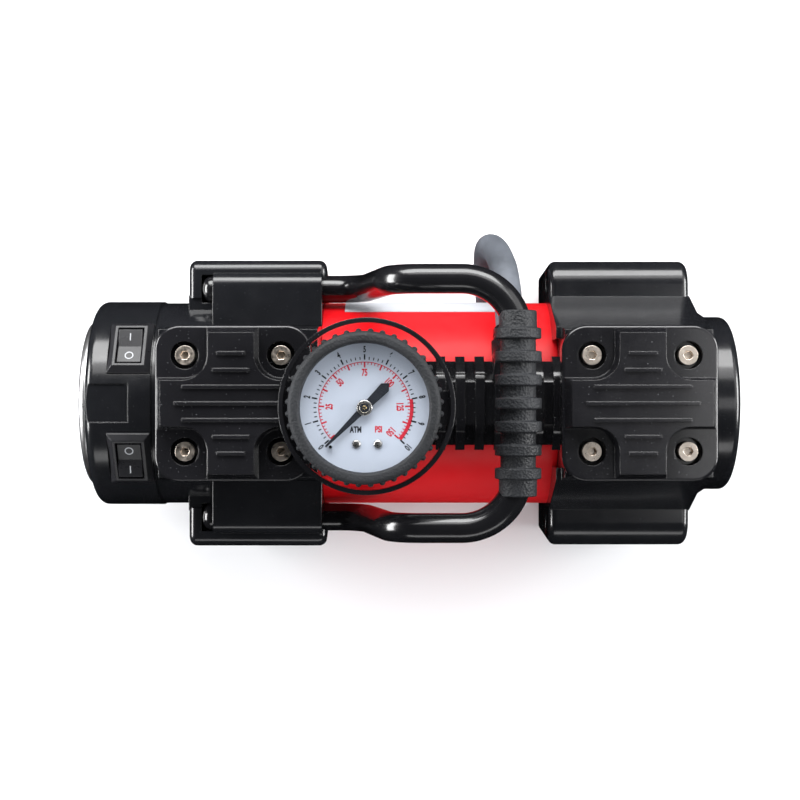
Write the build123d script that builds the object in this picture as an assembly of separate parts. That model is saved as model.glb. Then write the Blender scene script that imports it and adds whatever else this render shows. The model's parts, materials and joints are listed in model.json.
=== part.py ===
"""Twin-cylinder 12 V air compressor: a motor between two cylinder blocks, with a handle and a gauge.

Everything is drawn about the motor: X runs along the motor shaft and is 0 at the motor's middle, Y runs
across, and Z is 0 on the shaft. place() then lifts it all onto its feet and centres it over the origin.
"""
from build123d import *
import math
import os

# --- driving dimensions, mm ---
SHAFT_HEIGHT = 64.0  # shaft above the floor
HALF_WIDTH = 56.0  # outside of the legs
LEFT_END = -136.0  # front of the lamp bezel
RIGHT_END = 117.0  # face of the end cap

CAN_R = 40.0
CAN_WALL = 2.0
CAN_LEFT = -43.0
CAN_RIGHT = 47.0
LABEL_X = (-34.5, 33.0)
LABEL_ANGLES = (-15.0, 27.5)

BLOCK_LEFT = (-107.0, CAN_LEFT)  # each cylinder block along X
BLOCK_RIGHT = (CAN_RIGHT, 107.5)
BLOCK_WALL = 7.0  # thickness of the bearing wall beside the motor
CRANKCASE_R = 33.0
DECK_LEFT = (-101.0, CAN_LEFT)  # the raised part that carries each cylinder
DECK_RIGHT = (CAN_RIGHT, 101.0)
LEG_IN = 41.0
LEG_TOP = 18.0
LEG_BOTTOM = -56.0
LEG_LEFT = (-95.6, -41.5)
LEG_RIGHT = (45.0, 100.0)
LEG_WALL = 4.0
LEG_HOLLOW_Y = (LEG_IN + 3.5, HALF_WIDTH - 3.0)
LEG_HOLLOW_Z = (-4.0, 11.0)
LEG_DRAFT = 2.5  # a leg's ends lean in by this much on the way down
LEG_CREST = {"left": 4.5, "right": 9.5}  # rounding of a leg's outer top edge
GROOVE_Z = (-12.0, -22.0, -32.0)
GROOVE_R = 3.2
GROOVE_DEPTH = 0.9
ARCH_H = 6.0
FOOT_START = 4.0  # where a foot starts and ends, from the leg's end
FOOT_END = 21.0
CLAMP_Y = (29.4, 50.5)
CLAMP_TOP = 27.0
CLAMP_LEFT = -85.2
BOLT_Z = 34.5  # the motor's through bolts, above and below the shaft
BOLT_R = 2.0
CAP_R = 34.5

CYLINDER_X = (-72.7, 72.8)
DECK_Z = 60.0
BORE_R = 15.0
SLEEVE_WALL = 2.0
SLEEVE_Z = (24.0, DECK_Z)
GASKET_T = 1.0
PLATE_T = 3.0
COVER_Z = (DECK_Z + 2 * GASKET_T + PLATE_T, 78.0)
COVER_SIDE = 56.0
COVER_CORNER = 9.0
SCREW_STEP = 34.4  # spacing of the four head screws
M4_R = 2.0
M4_HEAD_R = 3.5
M4_HEAD_H = 4.0
M4_HEX_R = 1.73
POCKET_Z = 71.5
POCKET_R = 8.0
POCKET_REACH = 20.0
POCKET_SLOPE = 8.0
PLATEAU_SIDE = 54.5
PLATEAU_SLOPE = 17.0
FIN_T = 1.2
FIN_H = 1.0
FIN_STEP = 5.9
FIN_LENGTHS = (10.0, 13.0, 34.5, 40.0, 34.5, 13.0, 10.0)
SCREW_DEPTH = 4.5  # how far the screws' seats lie under the pocket floor
SCREW_HOLE_R = 2.2

STROKE = 16.0
CRANK_R = 20.0
ROD_T = 6.0
PIN_GAP = 0.5  # the crank pin stops this far short of the rod
PISTON_DROP = {"left": 0.0, "right": -STROKE}  # the pistons work half a turn apart
SHAFT_R = 4.0
RUNNING = 0.05  # radial clearance of a running fit
BEARING_R = 11.0
ARMATURE_R = 29.5
CORE_X = (-24.0, 24.0)
SLOTS = 12  # in the armature, and bars on the commutator
WINDING_R = (9.0, 26.0)
WINDING_L = 7.0
COMMUTATOR_R = 10.0
COMMUTATOR_X = (-41.0, -31.0)
BRUSH_X = (CAN_LEFT + 3.5, -33.5)
MAGNET_R = (31.0, CAN_R - CAN_WALL)

MANIFOLD_HALF = 17.4
MANIFOLD_Z = (42.0, 55.0)
GAUGE_X = -25.2
GAUGE_Y = -1.5
CASE_R = 24.2
BOOT_R = 26.3
NUB_R = 27.5
NUBS = 40
BOOT_BOTTOM = 81.5
FACE_Z = 98.0
DIAL_Z = 91.0
WINDOW_R = 22.3
ZERO_ANGLE = 225.0  # the needle's rest, counted from +X
GUARD_R = (29.3, 31.0)
GUARD_Z = (79.6, 84.6)
GUARD_SHIFT = (0.6, 0.5)  # the hoop's middle from the gauge's
STEM_R = 4.0
STEM_HEX_Z = (57.0, 60.0)

TUBE_R = 5.35
TUBE_Y = 44.6
TUBE_END = -90.4
TUBE_CAP = 5.0
TUBE_LOW = 15.0
TUBE_HIGH = 70.0
GRIP_X = 29.0
GRIP_TOP = 76.0
GRIP_CORE_R = 6.3
GRIP_COLLAR_R = 6.8
GRIP_RIB_R = 8.3
GRIP_LENGTH = 64.5
GRIP_RIBS = 7
GRIP_PITCH = 8.3
GRIP_RIB_WIDTH = 4.0
GRIP_BEND = 150.0

TAIL_R = 40.5
TAIL_X = (-132.4, BLOCK_LEFT[0])
TAIL_WALL = 3.0
LAMP_R = 33.0
SWITCH_X = -115.6
SWITCH_TILT = 32.0
SWITCH_R = TAIL_R - 0.8  # radius of the flat that the switch's frame sits on
FRAME_W = 16.4
FRAME_H = 22.4
FRAME_RISE = 1.9
FRAME_SLOPE = 48.0
FRAME_SKIRT = 1.5
ROCKER_W = 9.2
ROCKER_H = 14.0
ROCK = 8.0  # a rocker stands this many degrees to one side

HOSE_R = 5.3
HOSE_WALL = 2.2
HOSE_X = 28.0
HOSE_START = (27.0, 46.0)  # Y and Z where the hose leaves its ferrule
HOSE_DIP = 30.0  # the outlet points this many degrees down
COUPLER_R = 7.8

LIFT = Location((-(LEFT_END + RIGHT_END) / 2, 0, SHAFT_HEIGHT))


# --- helpers ---
def rod_x(r, x0, x1, y=0.0, z=0.0):
    return Pos((x0 + x1) / 2, y, z) * Rot(0, 90, 0) * Cylinder(r, x1 - x0)


def rod_y(r, y0, y1, x=0.0, z=0.0):
    return Pos(x, (y0 + y1) / 2, z) * Rot(90, 0, 0) * Cylinder(r, y1 - y0)


def rod_z(r, z0, z1, x=0.0, y=0.0):
    return Pos(x, y, (z0 + z1) / 2) * Cylinder(r, z1 - z0)


def ring_x(r0, r1, x0, x1, y=0.0, z=0.0):
    return rod_x(r1, x0, x1, y, z) - rod_x(r0, x0 - 1, x1 + 1, y, z)


def ring_z(r0, r1, z0, z1, x=0.0, y=0.0):
    return rod_z(r1, z0, z1, x, y) - rod_z(r0, z0 - 1, z1 + 1, x, y)


def block(x, y, z):
    """A box from three (low, high) pairs."""
    size = (x[1] - x[0], y[1] - y[0], z[1] - z[0])
    return Pos((x[0] + x[1]) / 2, (y[0] + y[1]) / 2, (z[0] + z[1]) / 2) * Box(*size)


def across(width):
    return (-width / 2, width / 2)


def both(y):
    """A (low, high) pair across Y, and the same pair on the other side."""
    return [y, (-y[1], -y[0])]


def along_x(points, x):
    """A closed outline in Y and Z, run along X."""
    face = make_face(Polyline(*[(0, y, z) for y, z in points], close=True))
    return Pos(x[0], 0, 0) * extrude(face, x[1] - x[0], dir=(1, 0, 0))


def along_y(points, y):
    """A closed outline in X and Z, run along Y."""
    outline = make_face(Polyline(*[(px, y[0], pz) for px, pz in points], close=True))
    return extrude(outline, y[1] - y[0], dir=(0, 1, 0))


def mirrored(points):
    return points + [(-y, z) for y, z in reversed(points) if y]


def corners(step):
    return [(sx * step / 2, sy * step / 2) for sx in (-1, 1) for sy in (-1, 1)]


def socket_screw(r, head_r, head_h, hex_r, length):
    """A socket cap screw, head up, with the underside of its head at Z 0."""
    screw = rod_z(r, -length, 0) + rod_z(head_r, 0, head_h)
    socket = extrude(RegularPolygon(hex_r, 6), head_h)
    return screw - Pos(0, 0, head_h * 0.45) * socket


# --- motor ---
def motor_can():
    return ring_x(CAN_R - CAN_WALL, CAN_R, CAN_LEFT, CAN_RIGHT)


def motor_magnets():
    half_gap = 6.0
    shell = ring_x(*MAGNET_R, -26.0, 26.0)
    shell -= block((-30, 30), (-half_gap, half_gap), (-CAN_R, CAN_R))
    return shell


def motor_shaft():
    return rod_x(SHAFT_R, CYLINDER_X[0] + 9, CYLINDER_X[1] - 9)


def armature():
    """The laminated core, slotted along its outside."""
    core = ring_x(SHAFT_R, ARMATURE_R, *CORE_X)
    slot = block((CORE_X[0] - 1, CORE_X[1] + 1), (-1.2, 1.2), (ARMATURE_R - 9, ARMATURE_R + 1))
    for i in range(SLOTS):
        core -= Rot(i * 360 / SLOTS, 0, 0) * slot
    return core


def armature_windings():
    """The turns of wire that stand out at each end of the core."""
    left = ring_x(*WINDING_R, CORE_X[0] - WINDING_L, CORE_X[0])
    right = ring_x(*WINDING_R, CORE_X[1], CORE_X[1] + WINDING_L)
    return [left, right]


def commutator():
    bars = ring_x(SHAFT_R, COMMUTATOR_R, *COMMUTATOR_X)
    cut_x = (COMMUTATOR_X[0] - 0.5, COMMUTATOR_X[1] - 2)
    cut = block(cut_x, (-0.3, 0.3), (COMMUTATOR_R - 1.4, COMMUTATOR_R + 0.5))
    for i in range(SLOTS):
        bars -= Rot(i * 360 / SLOTS, 0, 0) * cut
    return bars


def brush_holder():
    """A ring plate at the left end of the can with two brush boxes."""
    plate = ring_x(13.0, CAN_R - CAN_WALL, CAN_LEFT, CAN_LEFT + 2)
    for z in (BOLT_Z, -BOLT_Z):
        plate -= rod_x(BOLT_R, CAN_LEFT - 1, CAN_LEFT + 3, 0, z)
    for side in (0, 180):
        box = block((CAN_LEFT + 2, -32.0), (-4.5, 4.5), (14.0, 29.0))
        box -= block(BRUSH_X, (-3, 3), (13.0, 30.0))
        plate += Rot(side, 0, 0) * box
    return plate


def brushes():
    """A pair of brushes, just clear of the commutator so that it turns freely."""
    brush = block(BRUSH_X, (-3, 3), (COMMUTATOR_R + 0.3, 27.0))
    return [brush, Rot(180, 0, 0) * brush]


def bearings():
    pair = []
    for x in (CAN_LEFT - BLOCK_WALL, CAN_RIGHT):
        pair.append(ring_x(SHAFT_R + RUNNING, BEARING_R, x, x + BLOCK_WALL))
    return pair


# --- cylinder blocks ---
def deck_section(shoulder):
    """The raised part's outline; shoulder is where its side meets the round body."""
    return mirrored([(0, DECK_Z), (27, DECK_Z), (28.5, 48), shoulder, (shoulder[0], 0), (0, 0)])


def near_y(shape, y):
    return [e for e in shape.edges() if abs(e.center().Y - y) < 0.01]


def leg(x, side, crest):
    """One leg: a tall slab with a rounded crest, shallow grooves and an arch between its feet."""
    inner, outer = side * LEG_IN, side * HALF_WIDTH
    sides = [(x[0], LEG_TOP), (x[1], LEG_TOP)]
    sides += [(x[1] - LEG_DRAFT, LEG_BOTTOM), (x[0] + LEG_DRAFT, LEG_BOTTOM)]
    body = along_y(sides, sorted((inner, outer)))
    body = fillet([e for e in near_y(body, outer) if abs(e.center().Z - LEG_TOP) < 0.01], crest)
    upright = [e for e in near_y(body, outer) if e.center().Z < 0 and abs(e.tangent_at(0.5).Z) > 0.9]
    body = fillet(upright, 3.0)
    for z in GROOVE_Z:
        face = sorted((outer - side * GROOVE_DEPTH, outer + side))
        groove = block((x[0] + 9, x[1] - 9), face, (z - GROOVE_R, z + GROOVE_R))
        body -= fillet(groove.edges().filter_by(Axis.Y), GROOVE_R - 0.1)
    arch_top = LEG_BOTTOM + ARCH_H
    points = [(x[0] + FOOT_END + 1, LEG_BOTTOM), (x[0] + FOOT_END + 5, arch_top)]
    points += [(x[1] - FOOT_END - 5, arch_top), (x[1] - FOOT_END - 1, LEG_BOTTOM)]
    return body - along_y(points, (-HALF_WIDTH - 1, HALF_WIDTH + 1))


def cylinder_block(round_x, deck_x, crankcase_x, cylinder_x, shoulder):
    """A crankcase with its raised deck, its bearing seat and its cylinder bore."""
    body = rod_x(CAN_R, *round_x) + along_x(deck_section(shoulder), deck_x)
    body -= rod_x(CRANKCASE_R, *crankcase_x)
    body -= rod_x(BEARING_R, *round_x)
    body -= rod_z(BORE_R + SLEEVE_WALL, SLEEVE_Z[0], DECK_Z + 1, cylinder_x)
    for dx, dy in corners(SCREW_STEP):
        body -= rod_z(M4_R, DECK_Z - 18, DECK_Z + 1, cylinder_x + dx, dy)
    for z in (BOLT_Z, -BOLT_Z):
        body -= rod_x(BOLT_R, *round_x, 0, z)
    return body


def legs(x, tie_x, crest):
    """Both legs of a block, each tied to the round body by a shelf."""
    pair = []
    for side in (1, -1):
        shelf = block(tie_x, sorted((side * (CRANKCASE_R + 2), side * (LEG_IN + 1))), (-14.0, LEG_TOP - 1))
        pair += [leg(x, side, crest), shelf]
    return pair


def manifold_port(x0, x1):
    return rod_x(3.0, x0, x1, 0, 49.0)


def right_block():
    x0, x1 = BLOCK_RIGHT
    taper = 7.5
    body = cylinder_block((x0, x1), DECK_RIGHT, (x0 + BLOCK_WALL, x1 + 1), CYLINDER_X[1], (40.0, 20.0))
    cone = Pos(x1 - taper / 2, 0, 0) * Rot(0, 90, 0) * Cone(CAN_R, CAP_R + 0.5, taper)
    body -= rod_x(CAN_R + 9, x1 - taper, x1 + 1) - cone
    body += legs(LEG_RIGHT, (x0, LEG_RIGHT[1]), LEG_CREST["right"])
    for side in (1, -1):
        points = [(24, 48), (28.5, 48), (41.5, LEG_TOP), (41.5, 0), (24, 0)]
        web = along_x([(side * y, z) for y, z in points], LEG_RIGHT)
        body += web - rod_x(CAN_R + 0.3, LEG_RIGHT[0] - 1, x0) - rod_x(CAN_R - 1, x0, LEG_RIGHT[1] + 1)
        hollow_y = sorted(side * y for y in LEG_HOLLOW_Y)
        hollow = block((LEG_RIGHT[0] - 1, LEG_RIGHT[1] - LEG_WALL), hollow_y, LEG_HOLLOW_Z)
        body -= fillet(hollow.edges().filter_by(Axis.X), 3.0)
    return body - manifold_port(x0 - 1, CYLINDER_X[1] - BORE_R)


def left_block():
    x0, x1 = BLOCK_LEFT
    crankcase_x = (x0 - 1, x1 - BLOCK_WALL)
    body = cylinder_block((x0, x1), DECK_LEFT, crankcase_x, CYLINDER_X[0], (CLAMP_Y[0], CLAMP_TOP))
    body += legs(LEG_LEFT, (LEG_LEFT[0], x1), LEG_CREST["left"])
    for side in (1, -1):
        seat_r = TUBE_R + RUNNING
        seat_y = (side * TUBE_Y - seat_r, side * TUBE_Y + seat_r)
        body -= rod_x(seat_r, TUBE_END - RUNNING, x1 + 3, side * TUBE_Y, TUBE_LOW)
        body -= block((TUBE_END - RUNNING, CLAMP_LEFT), seat_y, (TUBE_LOW, LEG_TOP + 1))
        body -= clamp_space(side)
    return body - manifold_port(CYLINDER_X[0] + BORE_R, x1 + 1)


def clamp_space(side):
    """The room that a handle clamp takes up on the left block."""
    across_y = sorted(side * y for y in CLAMP_Y)
    space = block((CLAMP_LEFT, CAN_LEFT), across_y, (TUBE_LOW, CLAMP_TOP))
    return space - rod_x(CAN_R, CLAMP_LEFT - 1, CAN_LEFT + 1)


def handle_clamps():
    """The two caps that hold the handle's legs down on the left block."""
    caps = []
    for side in (1, -1):
        cap = clamp_space(side)
        edge = [e for e in near_y(cap, side * CLAMP_Y[1]) if abs(e.center().Z - CLAMP_TOP) < 0.01]
        cap = fillet(edge, 5.0)
        caps.append(cap - rod_x(TUBE_R + RUNNING, CLAMP_LEFT - 1, CAN_LEFT + 1, side * TUBE_Y, TUBE_LOW))
    return caps


def through_bolts():
    """The two long bolts that hold both blocks to the motor."""
    ends = (CAN_LEFT - BLOCK_WALL, CAN_RIGHT + BLOCK_WALL)
    return [rod_x(BOLT_R - 0.25, *ends, 0, z) for z in (BOLT_Z, -BOLT_Z)]


def feet():
    pads = []
    for x0, x1 in (LEG_LEFT, LEG_RIGHT):
        for y in both((LEG_IN, HALF_WIDTH)):
            for x in ((x0 + FOOT_START, x0 + FOOT_END), (x1 - FOOT_END, x1 - FOOT_START)):
                pad = block(x, (y[0] + 1, y[1] - 1), (-SHAFT_HEIGHT, LEG_BOTTOM))
                pads.append(fillet(pad.edges().filter_by(Axis.Z), 3.0))
    return pads


def end_cap():
    """The round stepped cap on the right block."""
    x0 = BLOCK_RIGHT[1]
    cap = rod_x(CAP_R, x0, RIGHT_END)
    rim = [e for e in cap.edges() if e.center().X > RIGHT_END - 0.01]
    cap = fillet(rim, 3.0)
    cap -= ring_x(25.0, 29.0, RIGHT_END - 1.0, RIGHT_END + 1)
    cap -= rod_x(20.0, RIGHT_END - 1.6, RIGHT_END + 1)
    cap += rod_x(CRANKCASE_R, x0 - 3, x0)
    cap -= rod_x(CRANKCASE_R - 3, x0 - 4, RIGHT_END - 3)
    return cap


# --- cylinder tops ---
def sleeve(x):
    return ring_z(BORE_R, BORE_R + SLEEVE_WALL, *SLEEVE_Z, x)


def square_plate(x, z0, z1, side, hole_r):
    """A rounded square plate with four screw holes."""
    plate = extrude(RectangleRounded(side, side, COVER_CORNER), z1 - z0)
    plate = Pos(x, 0, z0) * plate
    for dx, dy in corners(SCREW_STEP):
        plate -= rod_z(hole_r, z0 - 1, z1 + 1, x + dx, dy)
    return plate


def deck_gasket(x):
    return square_plate(x, DECK_Z, DECK_Z + GASKET_T, 50.0, SCREW_HOLE_R) - rod_z(BORE_R, 50, 70, x)


def valve_plate(x):
    z = DECK_Z + GASKET_T
    plate = square_plate(x, z, z + PLATE_T, 52.0, SCREW_HOLE_R)
    for dy in (-6, 6):
        plate -= rod_z(2.5, z - 1, z + PLATE_T + 1, x, dy)
    return plate


def head_gasket(x):
    z = DECK_Z + GASKET_T + PLATE_T
    half = 12.0
    window = block((x - half, x + half), (-half, half), (z - 1, z + GASKET_T + 1))
    return square_plate(x, z, z + GASKET_T, 50.0, SCREW_HOLE_R) - window


def cross_plateau():
    """The raised cross on a head cover, with sloping sides, about the cover's centre."""
    low = POCKET_Z - 0.5
    height = COVER_Z[1] - low
    outline = RectangleRounded(PLATEAU_SIDE, PLATEAU_SIDE, COVER_CORNER - 1)
    square = extrude(outline, height, taper=PLATEAU_SLOPE)
    pocket = RectangleRounded(2 * POCKET_REACH, 2 * POCKET_REACH, POCKET_R)
    beyond = POCKET_REACH - POCKET_R
    for dx, dy in corners(SCREW_STEP):
        centre = (dx + math.copysign(beyond, dx), dy + math.copysign(beyond, dy))
        square -= Pos(*centre, 0) * extrude(pocket, height, taper=-POCKET_SLOPE)
    return Pos(0, 0, low) * square


def fin_rows():
    """(length, Y) of each fin on a head cover."""
    middle = (len(FIN_LENGTHS) - 1) / 2
    return [(length, (middle - i) * FIN_STEP) for i, length in enumerate(FIN_LENGTHS)]


def head_cover(x):
    cover = extrude(RectangleRounded(COVER_SIDE, COVER_SIDE, COVER_CORNER), POCKET_Z - COVER_Z[0])
    top = [e for e in cover.edges() if abs(e.center().Z - (POCKET_Z - COVER_Z[0])) < 0.01]
    cover = Pos(0, 0, COVER_Z[0]) * fillet(top, 1.2)
    cover += cross_plateau()
    for dx, dy in corners(SCREW_STEP):
        cover -= rod_z(M4_HEAD_R + 1.5, POCKET_Z - SCREW_DEPTH, POCKET_Z + 1, dx, dy)
        cover -= rod_z(SCREW_HOLE_R, COVER_Z[0] - 1, POCKET_Z, dx, dy)
    for length, y in fin_rows():
        fin_z = (COVER_Z[1] - 0.5, COVER_Z[1] + FIN_H)
        cover += block(across(length), (y - FIN_T / 2, y + FIN_T / 2), fin_z)
    cover -= block((-11, 11), (-11, 11), (COVER_Z[0] - 1, COVER_Z[1] - 4))
    return Pos(x, 0, 0) * cover


def head_screws(x):
    under_head = POCKET_Z - SCREW_DEPTH
    screw = socket_screw(M4_R, M4_HEAD_R, M4_HEAD_H, M4_HEX_R, under_head - DECK_Z + 16)
    return [Pos(x + dx, dy, under_head) * screw for dx, dy in corners(SCREW_STEP)]


# --- crank and pistons ---
def crank(x, side):
    """A crank disc with its pin. side is +1 where the motor is on the +X side of the cylinder."""
    face = x + side * (ROD_T / 2 + 6.0)
    disc = rod_x(CRANK_R, *sorted((face, face + side * 7.0)))
    disc -= rod_x(SHAFT_R, *sorted((face - side, face + side * 8.0)))
    lighten = block((x - 30, x + 30), (-CRANK_R, CRANK_R), (13.0, CRANK_R + 1))
    disc -= lighten
    pin_end = x + side * (ROD_T / 2 + PIN_GAP)
    return disc + rod_x(3.0, *sorted((pin_end, face + side * 2)), 0, STROKE / 2)


def piston(x):
    """A one-piece piston and rod, shown at the top of its stroke."""
    crown = DECK_Z - 1.0
    body = rod_z(BORE_R - 0.3, crown - 12.0, crown, x)
    body -= ring_z(BORE_R - 2.0, BORE_R + 1, crown - 5.0, crown - 2.0, x)
    half = ROD_T / 2
    body += block((x - half, x + half), (-5.0, 5.0), (STROKE / 2 + 6, crown - 11.0))
    body += rod_x(10.0, x - half, x + half, 0, STROKE / 2)
    return body - rod_x(3.5, x - half - 1, x + half + 1, 0, STROKE / 2)


def piston_seal(x):
    crown = DECK_Z - 1.0
    return ring_z(BORE_R - 2.0, BORE_R - RUNNING, crown - 5.0, crown - 2.0, x)


# --- manifold and gauge ---
def manifold():
    """The ribbed air duct over the motor, with its side outlet and a boss under the gauge."""
    low, high = MANIFOLD_Z
    half = MANIFOLD_HALF
    slope = [(7.8, high - 1.2), (11, high - 3.5), (15.6, low + 3), (15.6, low)]
    core = mirrored([(0, high - 1.2), *slope, (0, low)])
    rib = mirrored([(0, high), (8.2, high), (12, high - 2.2), (half, low + 4.5), (half, low), (0, low)])
    duct = along_x(core, (CAN_LEFT, CAN_RIGHT))
    pitch, width = 7.2, 3.5
    ribs = 12
    for i in range(ribs):
        x0 = CAN_RIGHT - width - i * pitch
        duct += along_x(rib, (x0, x0 + width))
    duct += rod_z(9.0, low, high + 2, GAUGE_X, GAUGE_Y)
    duct += hose_frame(rod_z(7.0, -21.0, -11.0)) & block((0, 50), (0, 40), (low, high + 1.5))
    duct -= hose_frame(rod_z(8.0, -11.0, 0.0))
    duct -= rod_x(CAN_R, CAN_LEFT - 1, CAN_RIGHT + 1)
    duct -= rod_x(3.0, CAN_LEFT - 1, CAN_RIGHT + 1, 0, 49.0)
    duct -= rod_z(STEM_R, 49.0, high + 3, GAUGE_X, GAUGE_Y)
    return duct - hose_frame(rod_z(3.0, -21.0, -10.0))


def hose_frame(shape):
    """Puts a shape drawn along +Z on the outlet, with its own origin at the hose's start."""
    y, z = HOSE_START
    return Pos(HOSE_X, y, z) * Rot(-90 - HOSE_DIP, 0, 0) * shape


def hose_nut():
    nut = extrude(RegularPolygon(7.2, 6), 6.5)
    return hose_frame(Pos(0, 0, -11.0) * nut - rod_z(3.0, -12, -4))


def hose_ferrule():
    sleeve_ = rod_z(6.4, -4.5, 0.0) - rod_z(3.0, -5, 1)
    sleeve_ -= ring_z(6.0, 7.0, -3.4, -2.6)
    return hose_frame(sleeve_)


def at_gauge(shape):
    return Pos(GAUGE_X, GAUGE_Y, 0) * shape


def gauge_stem():
    """The hollow brass stem from the manifold up into the gauge."""
    low, high = STEM_HEX_Z
    stem = rod_z(STEM_R, 50.0, 86.0) + extrude(Pos(0, 0, low) * RegularPolygon(7.0, 6), high - low)
    return at_gauge(stem - rod_z(1.5, 49.0, 87.0))


def gauge_case():
    case = rod_z(CASE_R, 83.0, FACE_Z - 1.5) - rod_z(CASE_R - 1.5, 84.5, FACE_Z)
    return at_gauge(case - rod_z(STEM_R, 82.0, 86.0))


def gauge_boot():
    """A rubber sleeve round the gauge, with a lip over its face and nubs round its side."""
    boot = rod_z(BOOT_R, BOOT_BOTTOM, FACE_Z) - rod_z(CASE_R, 83.0, FACE_Z - 1.5)
    boot -= rod_z(WINDOW_R, 90.0, FACE_Z + 1) + rod_z(STEM_R, 80.0, 84.0)
    lip = [e for e in boot.edges() if abs(e.center().Z - FACE_Z) < 0.01 and e.radius > BOOT_R - 0.1]
    boot = fillet(lip, 1.6)
    for i in range(NUBS):
        nub = block((BOOT_R - 1, NUB_R), (-1.1, 1.1), (BOOT_BOTTOM + 3.5, FACE_Z - 4))
        boot += Rot(0, 0, i * 360 / NUBS) * nub
    return at_gauge(boot)


def gauge_dial():
    return at_gauge(rod_z(CASE_R - 1.6, DIAL_Z - 1, DIAL_Z) - rod_z(1.2, DIAL_Z - 2, DIAL_Z + 1))


def gauge_movement():
    """The block that carries the needle's spindle, on top of the stem."""
    body = block((-9, 9), (-6, 6), (86.0, DIAL_Z - 1))
    return at_gauge(body - rod_z(1.2, DIAL_Z - 4, DIAL_Z))


def dial_screws():
    return [at_gauge(rod_z(1.6, DIAL_Z, DIAL_Z + 0.9, x, -12.5)) for x in (-2.8, 4.6)]


def zero_pin():
    """The stop that the needle rests against at zero."""
    angle = math.radians(ZERO_ANGLE + 4.0)
    x, y = 17.8 * math.cos(angle), 17.8 * math.sin(angle)
    return at_gauge(rod_z(0.6, DIAL_Z, DIAL_Z + 2.2, x, y))


def gauge_needle():
    """A needle that points at zero, down and to the left, with a wide tail and a spindle."""
    tip, tail = 19.0, 12.0
    outline = [(0, 1.3), (tip, 0.35), (tip, -0.35), (0, -1.3)]
    outline += [(-tail + 2, -1.9), (-tail, 0), (-tail + 2, 1.9)]
    blade = extrude(make_face(Polyline(*outline, close=True)), 0.5)
    needle = Pos(0, 0, DIAL_Z + 1.2) * Rot(0, 0, ZERO_ANGLE) * blade
    needle += rod_z(2.6, DIAL_Z + 0.9, DIAL_Z + 2.4)
    needle += rod_z(1.15, DIAL_Z - 3, DIAL_Z + 1)
    return at_gauge(needle)


def gauge_lens():
    return at_gauge(rod_z(CASE_R - 1.6, FACE_Z - 3.5, FACE_Z - 1.6))


def gauge_guard():
    """The hoop round the gauge, on two spokes from a column round the stem."""
    low, high = GUARD_Z
    spoke_top = BOOT_BOTTOM - 0.1
    reach = GUARD_R[1] - 1.0
    hoop = ring_z(*GUARD_R, low, high, *GUARD_SHIFT)
    spokes = block((-reach, reach), (-6.0, 6.0), (low, spoke_top))
    column = rod_z(8.5, STEM_HEX_Z[1] + 0.3, spoke_top)
    return at_gauge(hoop + spokes + column - rod_z(STEM_R, 50.0, 90.0))


# --- handle ---
def handle_path():
    side = [
        (TUBE_END + TUBE_CAP, TUBE_Y, TUBE_LOW),
        (-27.5, TUBE_Y, TUBE_LOW),
        (-15.5, TUBE_Y, TUBE_HIGH),
        (GRIP_X, TUBE_Y, TUBE_HIGH),
    ]
    other = [(x, -y, z) for x, y, z in reversed(side)]
    radii = [13.0, 12.0, 20.0]
    points = side + [(GRIP_X, 0, GRIP_TOP)] + other
    return FilletPolyline(*points, radius=radii + [GRIP_BEND] + radii[::-1])


def tube_on(path, r, bore_r=0.0):
    """A round tube swept along a path."""
    section = Plane(origin=path @ 0, z_dir=path % 0) * Circle(r)
    tube = sweep(section, path=path)
    if bore_r:
        bore = Plane(origin=path @ 0, z_dir=path % 0) * Circle(bore_r)
        tube -= sweep(bore, path=path)
    return tube


def handle_tube():
    """The bent handle, with a domed plug closing each of its ends."""
    tube = tube_on(handle_path(), TUBE_R, TUBE_R - 1.3)
    for side in (1, -1):
        plug = rod_x(TUBE_R, TUBE_END, TUBE_END + TUBE_CAP, side * TUBE_Y, TUBE_LOW)
        rim = [e for e in plug.edges() if abs(e.center().X - TUBE_END) < 0.01]
        tube += fillet(rim, TUBE_CAP - 1)
    return tube


def bar_height(y):
    """Z of the crossbar's middle line, that rises from each side to a low crest."""
    half = GRIP_BEND * math.sin(math.atan((GRIP_TOP - TUBE_HIGH) / TUBE_Y))
    slope = (GRIP_TOP - TUBE_HIGH) / TUBE_Y
    if abs(y) > half:
        return GRIP_TOP - slope * abs(y)
    crest = GRIP_TOP - slope * half
    drop = GRIP_BEND - math.sqrt(GRIP_BEND**2 - half**2)
    return crest + drop - (GRIP_BEND - math.sqrt(GRIP_BEND**2 - y**2))


def handle_grip():
    """A ribbed rubber sleeve with a plain collar at each end."""
    half = GRIP_LENGTH / 2
    ends = [(GRIP_X, half, bar_height(half)), (GRIP_X, 0, GRIP_TOP), (GRIP_X, -half, bar_height(half))]
    grip = tube_on(FilletPolyline(*ends, radius=GRIP_BEND), GRIP_CORE_R)
    ribs_end = (GRIP_RIBS - 1) / 2 * GRIP_PITCH
    for i in range(GRIP_RIBS):
        y = i * GRIP_PITCH - ribs_end
        grip += rod_y(GRIP_RIB_R, y - GRIP_RIB_WIDTH / 2, y + GRIP_RIB_WIDTH / 2, GRIP_X, bar_height(y))
    for side in (-1, 1):
        middle_y = side * (half + ribs_end) / 2
        slope = side * math.degrees(math.atan((GRIP_TOP - TUBE_HIGH) / TUBE_Y))
        collar = Rot(90, 0, 0) * Cylinder(GRIP_COLLAR_R, half - ribs_end)
        grip += Pos(GRIP_X, middle_y, bar_height(middle_y)) * Rot(-slope, 0, 0) * collar
    return grip - tube_on(handle_path(), TUBE_R)


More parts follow.
